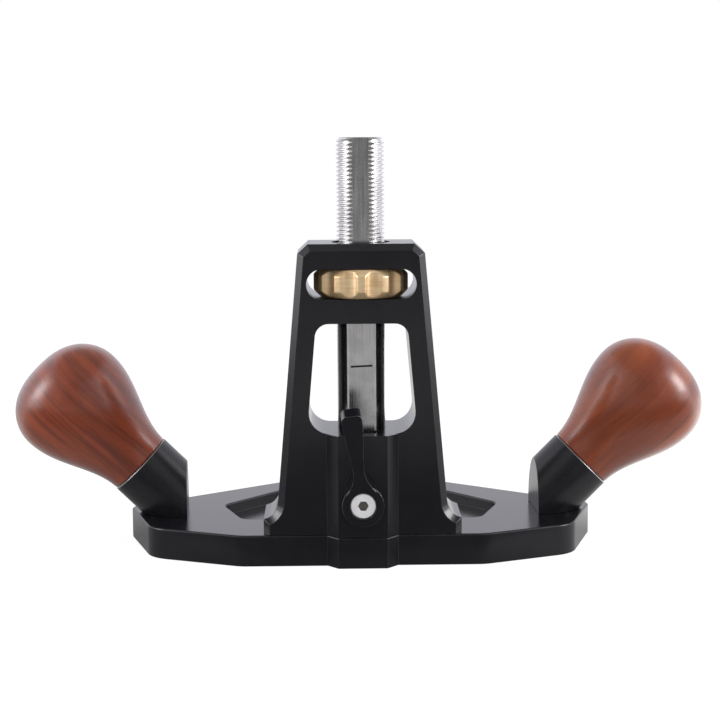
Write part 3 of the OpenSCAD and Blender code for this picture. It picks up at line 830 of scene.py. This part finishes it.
@dataclass
class Handle:
    """One slanted socket with its turned knob."""

    side: Side
    turn_deg: float  # about the socket's screw, counter-clockwise from above
    wood: TurnedHardwood
    rim: Point = (77.97, 39.0, 27.97)
    screw: Span = (67.0, 39.0)
    tilt_deg: float = 45.0
    neck_radius: float = 11.8
    neck_chamfer: float = 0.4
    belly_radius: float = 20.98
    belly_at: float = 32.7
    length: float = 49.0
    swell: float = 0.95
    dome: float = 0.82
    bore_radius: float = 6.0
    bore_depth: float = 22.0
    rings: int = 44
    columns: int = 128
    crease_deg: float = 50.0
    socket_edge: float = 0.2
    rim_highlight_reach: float = 0.35  # how far from the rim its edge takes a painted highlight

    def profile(self) -> list[Span]:
        """Draws the knob's outline from the bore's end, round the neck and belly, to the dome's tip.

        Returns:
            Radius and height of each point in mm.
        """
        points = [(0.0, self.bore_depth), (self.bore_radius, self.bore_depth), (self.bore_radius, 0.0),
                  (self.neck_radius - self.neck_chamfer, 0.0)]
        for i in range(self.rings + 1):
            share = i / self.rings
            swelling = (1 - math.cos(math.pi * share ** self.swell)) / 2
            radius = self.neck_radius + (self.belly_radius - self.neck_radius) * swelling
            points.append((radius, max(self.neck_chamfer, self.belly_at * share)))
        for i in range(1, self.rings):
            angle = math.pi / 2 * i / self.rings
            points.append((self.belly_radius * math.cos(angle) ** self.dome,
                           self.belly_at + (self.length - self.belly_at) * math.sin(angle)))
        return points + [(0.0, self.length)]

    def place(self) -> Matrix:
        """Finds where the knob stands.

        Returns:
            The knob's frame, its Z out along the axis from the socket's rim.
        """
        x, y, z = (v * MM for v in self.rim)
        pivot = Matrix.Translation((self.screw[0] * self.side.value * MM, self.screw[1] * MM, 0))
        rim = Matrix.Translation((x * self.side.value, y, z))
        return (pivot @ Matrix.Rotation(math.radians(self.turn_deg), 4, "Z") @ pivot.inverted() @ rim
                @ Matrix.Rotation(math.radians(self.tilt_deg * self.side.value), 4, "Y"))

    def knob(self, node: str) -> bpy.types.Object:
        """Turns the knob, its grain along its axis, and sets it on the socket.

        Args:
            node: The CAD node that it stands for.

        Returns:
            The knob.
        """
        place = self.place()
        wood = replace(self.wood, name=f"{self.wood.name}_{self.side.name.lower()}",
                       seat=tuple(place.translation), turn=tuple(place.to_euler())).material()
        knob = turned(f"{node}_dressed", self.profile(), self.columns, (wood,), self.crease_deg)
        knob.data.transform(place)
        return knob

    def socket(self, node: str, finishes: Finishes) -> bpy.types.Object:
        """Eases the socket and paints a highlight of bright metal on the edge of its rim.

        Args:
            node: The CAD node that it stands for.
            finishes: The materials.

        Returns:
            The socket.
        """
        socket = eased_copy(node, self.socket_edge,
                            (finishes.anodised_turned, finishes.anodised_edge_wear_and_highlight, finishes.painted_highlight_metal))
        inward = self.place().inverted()
        # the rim's edge faces take a painted highlight of bright metal
        for face in socket.data.polygons:
            if face.material_index == EDGE and abs((inward @ face.center).z) < self.rim_highlight_reach * MM:
                face.material_index = LAID
        return socket

    def build(self, finishes: Finishes) -> None:
        """Builds the knob and the socket, and dresses the fasteners.

        Args:
            finishes: The materials.
        """
        word = self.side.name.lower()
        knob, socket = f"knob_{word}", f"handle_socket_{word}"
        mount(self.knob(knob), Body.FRAME, Slot.WOOD, knob)
        mount(self.socket(socket, finishes), Body.FRAME, Slot.ANODISED, socket)
        dress(f"socket_screw_{word}", finishes.oxide)
        dress(f"knob_stud_{word}", finishes.oxide)
        dress(f"knob_insert_{word}", finishes.brass)


# Studio

@dataclass(frozen=True)
class SoftBox:
    """A flat soft light that faces a point on the plane."""

    name: str
    at: Point
    size: Span
    radiance: float
    aim: Point = (0.0, 0.03, 0.06)
    mirrored: bool = True  # whether reflections show it

    def build(self) -> None:
        """Adds the lamp, its power set from its radiance."""
        lamp = bpy.data.lights.new(self.name, "AREA")
        lamp.shape = "RECTANGLE"
        lamp.size, lamp.size_y = self.size
        lamp.energy = self.radiance * math.pi * self.size[0] * self.size[1]
        light = bpy.data.objects.new(self.name, lamp)
        facing = (Vector(self.at) - Vector(self.aim)).to_track_quat("Z", "Y")
        light.matrix_world = Matrix.Translation(self.at) @ facing.to_matrix().to_4x4()
        light.visible_glossy = self.mirrored
        bpy.context.scene.collection.objects.link(light)


# a soft box with a brighter core on each side, and two fills that no reflection shows
LAMPS: tuple[SoftBox, ...] = (
    SoftBox("box_left", (-0.95, -0.1, 0.42), (0.7, 0.8), 1.6),
    SoftBox("box_right", (0.95, -0.1, 0.42), (0.7, 0.8), 1.4),
    SoftBox("lamp_left", (-0.93, -0.1, 0.45), (0.32, 0.4), 5.5),
    SoftBox("lamp_right", (0.93, -0.1, 0.45), (0.32, 0.4), 10.0),
    SoftBox("box_top", (0.0, -0.1, 1.1), (1.1, 1.0), 0.8, mirrored=False),
    SoftBox("box_fill", (0.0, -1.2, 0.6), (1.2, 1.0), 1.95, mirrored=False))


@dataclass
class Eye:
    """The camera, placed as the photograph was taken."""

    at: Point = (-0.0091, -0.5430, 0.1437)
    yaw_deg: float = -0.895
    pitch_deg: float = 7.82
    roll_deg: float = 0.367
    focal_px: float = 1674.0
    frame_px: float = 720.0
    sensor_mm: float = 36.0
    clip_start: float = 0.01

    def build(self) -> None:
        """Adds the camera and makes it the scene's own."""
        yaw, pitch, roll = (math.radians(a) for a in (self.yaw_deg, self.pitch_deg, self.roll_deg))
        right = Vector((math.cos(yaw), math.sin(yaw), 0))
        level = Vector((-math.sin(yaw), math.cos(yaw), 0))
        ahead = level * math.cos(pitch) - Vector((0, 0, math.sin(pitch)))
        up = level * math.sin(pitch) + Vector((0, 0, math.cos(pitch)))
        axes = (right * math.cos(roll) - up * math.sin(roll),
                right * math.sin(roll) + up * math.cos(roll), -ahead)
        lens = bpy.data.cameras.new("camera")
        lens.sensor_width = self.sensor_mm
        lens.lens = self.focal_px / self.frame_px * self.sensor_mm
        lens.clip_start = self.clip_start
        camera = bpy.data.objects.new("camera", lens)
        camera.matrix_world = Matrix.Translation(self.at) @ Matrix(axes).transposed().to_4x4()
        bpy.context.scene.collection.objects.link(camera)
        bpy.context.scene.camera = camera


def sheet(name: str, corners: Sequence[Point], material: bpy.types.Material) -> bpy.types.Object:
    """Adds a flat stage piece.

    Args:
        name: The piece's name.
        corners: Its corners in order.
        material: Its material.

    Returns:
        The piece.
    """
    mesh = bpy.data.meshes.new(name)
    mesh.from_pydata(corners, [], [tuple(range(len(corners)))])
    mesh.materials.append(material)
    piece = bpy.data.objects.new(name, mesh)
    bpy.context.scene.collection.objects.link(piece)
    return piece


def seen_mirrored(tree: bpy.types.NodeTree) -> tuple[bpy.types.NodeSocket, bpy.types.NodeSocket]:
    """Tells rays of the eye and of reflections from the rest.

    Args:
        tree: The node tree.

    Returns:
        1 for rays from the camera or through glass, and 1 for rays from a reflection.
    """
    path = add(tree, "LightPath").outputs
    seen = add(tree, "Math", {0: path["Is Camera Ray"], 1: path["Is Transmission Ray"]},
               operation="MAXIMUM")
    return seen.outputs[0], path["Is Glossy Ray"]


@dataclass
class Floor:
    """The pale floor, white where no shadow falls and dimmer in reflections.

    Reflections see a level of light by where they meet the floor, where 1 is white.
    """

    corners: tuple[Span, Span] = ((-1.2, -0.9), (1.2, 0.6))
    paint: str = "#7c7c7c"
    glow: float = 0.88
    bounce: str = "#e8e8e8"  # its colour as a surface that lights the plane
    near: float = 0.16  # the level under the plane, a painted shadow that only reflections see, beside it and behind it
    beside: float = 0.4
    behind: float = 0.9
    beside_at: Span = (0.03, 0.075)  # where the level goes from near to beside, and to behind
    behind_at: Span = (0.02, 0.1)
    sides: Span = (0.85, 1.75)  # its share on the left and on the right, lower on the left as painted shade
    sides_at: Span = (-0.08, 0.14)
    front: float = -0.02  # where the plane's front stands
    before: float = 0.14  # the level before it
    patch: float = 0.52  # the level well before it, in the middle and to the sides
    patch_side: float = 0.8
    patch_side_at: Span = (0.1, 0.22)
    patch_half: float = 0.3  # that stretch's half width and where it starts
    patch_start: float = -0.22

    def level(self, tree: bpy.types.NodeTree) -> bpy.types.NodeSocket:
        """Finds the level that reflections see, by the place on the floor.

        Args:
            tree: The node tree.

        Returns:
            The level.
        """
        place = add(tree, "NewGeometry").outputs["Position"]
        at = add(tree, "SeparateXYZ", {"Vector": place}).outputs
        aside = add(tree, "Math", {0: at["X"]}, operation="ABSOLUTE").outputs[0]
        # under, beside and behind the plane
        beside = add(tree, "MapRange", {
            "Value": aside, "From Min": self.beside_at[0], "From Max": self.beside_at[1],
            "To Min": self.near, "To Max": self.beside})
        behind = add(tree, "MapRange", {
            "Value": at["Y"], "From Min": self.behind_at[0], "From Max": self.behind_at[1],
            "To Min": self.near, "To Max": self.behind})
        larger = add(tree, "Math", {0: beside.outputs["Result"], 1: behind.outputs["Result"]},
                     operation="MAXIMUM")
        sides = add(tree, "MapRange", {
            "Value": at["X"], "From Min": self.sides_at[0], "From Max": self.sides_at[1],
            "To Min": self.sides[0], "To Max": self.sides[1]})
        around = add(tree, "Math", {0: larger.outputs[0], 1: sides.outputs["Result"]},
                     operation="MULTIPLY")
        # before the plane
        within = add(tree, "Math", {0: aside, 1: self.patch_half}, operation="LESS_THAN")
        beyond = add(tree, "Math", {0: at["Y"], 1: self.patch_start}, operation="LESS_THAN")
        stretch = add(tree, "Math", {0: within.outputs[0], 1: beyond.outputs[0]},
                      operation="MULTIPLY")
        patch = add(tree, "MapRange", {
            "Value": aside, "From Min": self.patch_side_at[0], "From Max": self.patch_side_at[1],
            "To Min": self.patch, "To Max": self.patch_side})
        ahead = add(tree, "MapRange", {"Value": stretch.outputs[0], "To Min": self.before,
                                       "To Max": patch.outputs["Result"]})
        before = add(tree, "Math", {0: at["Y"], 1: self.front}, operation="LESS_THAN")
        return add(tree, "Mix", {"Factor": before.outputs[0], 2: around.outputs[0],
                                 3: ahead.outputs["Result"]}).outputs[0]

    def build(self) -> None:
        """Lays the floor."""
        material, tree = empty_material("floor_paper_matt_white")
        seen, mirrored = seen_mirrored(tree)
        paint = add(tree, "BsdfDiffuse", {"Color": linear(self.paint)})
        glow = add(tree, "Emission", {"Strength": self.glow})
        both = add(tree, "AddShader", {0: paint.outputs[0], 1: glow.outputs[0]})
        plain = add(tree, "BsdfDiffuse", {"Color": linear(self.bounce)})
        dim = add(tree, "Emission", {"Strength": self.level(tree)})
        unseen = add(tree, "MixShader", {0: mirrored, 1: plain.outputs[0], 2: dim.outputs[0]})
        mix = add(tree, "MixShader", {0: seen, 1: unseen.outputs[0], 2: both.outputs[0]})
        add(tree, "OutputMaterial", {"Surface": mix.outputs[0]})
        (x0, y0), (x1, y1) = self.corners
        sheet("floor", ((x0, y0, 0.0), (x1, y0, 0.0), (x1, y1, 0.0), (x0, y1, 0.0)), material)


@dataclass
class Cards:
    """Dim cards on the camera's side and overhead, which keep the black faces black.

    Only reflections see them. A glow of 1 is white.
    """

    low: float = -1.6  # heights of the front cards' foot, of the step between them and of the roof
    level: float = -0.12
    high: float = 1.2
    half: float = 0.45  # half widths of the middle cards and out to the wings' ends
    wing: float = 0.85
    far: float = -1.05  # where the middle cards hang and where the wings end
    near: float = -0.55
    roof_half: float = 0.9
    roof_split: float = 0.1  # where the roof's front card ends and its back one starts
    back: float = 1.4
    low_glow: float = 0.14
    front_glow: float = 0.155
    wing_glow: float = 0.62
    roof_glow: float = 0.4
    back_glow: float = 0.37

    def card(self, name: str, corners: Sequence[Point], glow: float) -> None:
        """Hangs one card.

        Args:
            name: The card's name.
            corners: Its corners in order.
            glow: How bright it is.
        """
        material, tree = empty_material(f"{name}_grey")
        light = add(tree, "Emission", {"Strength": glow})
        add(tree, "OutputMaterial", {"Surface": light.outputs[0]})
        card = sheet(name, corners, material)
        card.visible_camera = False
        card.visible_diffuse = False
        card.visible_shadow = False

    def build(self) -> None:
        """Hangs the low and the high front cards with their wings, and the roof in two."""
        half, far, near = self.half, self.far, self.near
        for word, z0, z1, middle, sides in (
                ("low", self.low, self.level, self.low_glow, self.low_glow),
                ("high", self.level, self.high, self.front_glow, self.wing_glow)):
            self.card(f"card_front_{word}", (
                (-half, far, z0), (half, far, z0), (half, far, z1), (-half, far, z1)), middle)
            for side in Side:
                x0, x1 = half * side.value, self.wing * side.value
                self.card(f"card_{word}_{side.name.lower()}", (
                    (x0, far, z0), (x1, near, z0), (x1, near, z1), (x0, far, z1)), sides)
        wide, z = self.roof_half, self.high
        for name, y0, y1, glow in (("card_roof", far, self.roof_split, self.roof_glow),
                                   ("card_roof_back", self.roof_split, self.back, self.back_glow)):
            self.card(name, ((-wide, y0, z), (wide, y0, z), (wide, y1, z), (-wide, y1, z)), glow)


@dataclass
class Studio:
    """The camera, the white surround, the floor, the cards and the lamps."""

    surround: str = "#ffffff"
    surround_mirror: str = "#f5f5ff"  # a little cool in reflections
    ambient: float = 0.35

    def build_world(self) -> None:
        """Makes the surround white to the eye and in reflections, and dim as a light."""
        world = bpy.data.worlds.new("studio")
        bpy.context.scene.world = world
        world.use_nodes = True
        tree = world.node_tree
        tree.nodes.clear()
        seen, mirrored = seen_mirrored(tree)
        white = add(tree, "Background", {"Color": linear(self.surround)})
        cool = add(tree, "Background", {"Color": linear(self.surround_mirror)})
        dim = add(tree, "Background", {"Color": linear(self.surround), "Strength": self.ambient})
        unseen = add(tree, "MixShader", {0: mirrored, 1: dim.outputs[0], 2: cool.outputs[0]})
        mix = add(tree, "MixShader", {0: seen, 1: unseen.outputs[0], 2: white.outputs[0]})
        add(tree, "OutputWorld", {"Surface": mix.outputs[0]})

    def build(self) -> None:
        """Sets up the whole studio."""
        Eye().build()
        self.build_world()
        Floor().build()
        Cards().build()
        for lamp in LAMPS:
            lamp.build()
        bpy.context.scene.view_settings.view_transform = "Standard"


def main() -> None:
    """Builds the studio and the plane."""
    logging.basicConfig(level=logging.INFO, format="%(message)s")
    Studio().build()
    finishes = Finishes()
    streaky = TurnedHardwood(seed=2.0)
    plain = TurnedHardwood(red="#92431a", brown="#742f0f", streaks=0.25, lines=0.5,
                           line_span=(0.56, 0.72), seed=5.0)
    for part in (BodyCastings(), FeedPost(), FeedWheel(), PostClamp(),
                 Handle(Side.LEFT, turn_deg=3.4, wood=streaky),
                 Handle(Side.RIGHT, turn_deg=2.1, wood=plain)):
        part.build(finishes)


if __name__ == "__main__":
    main()
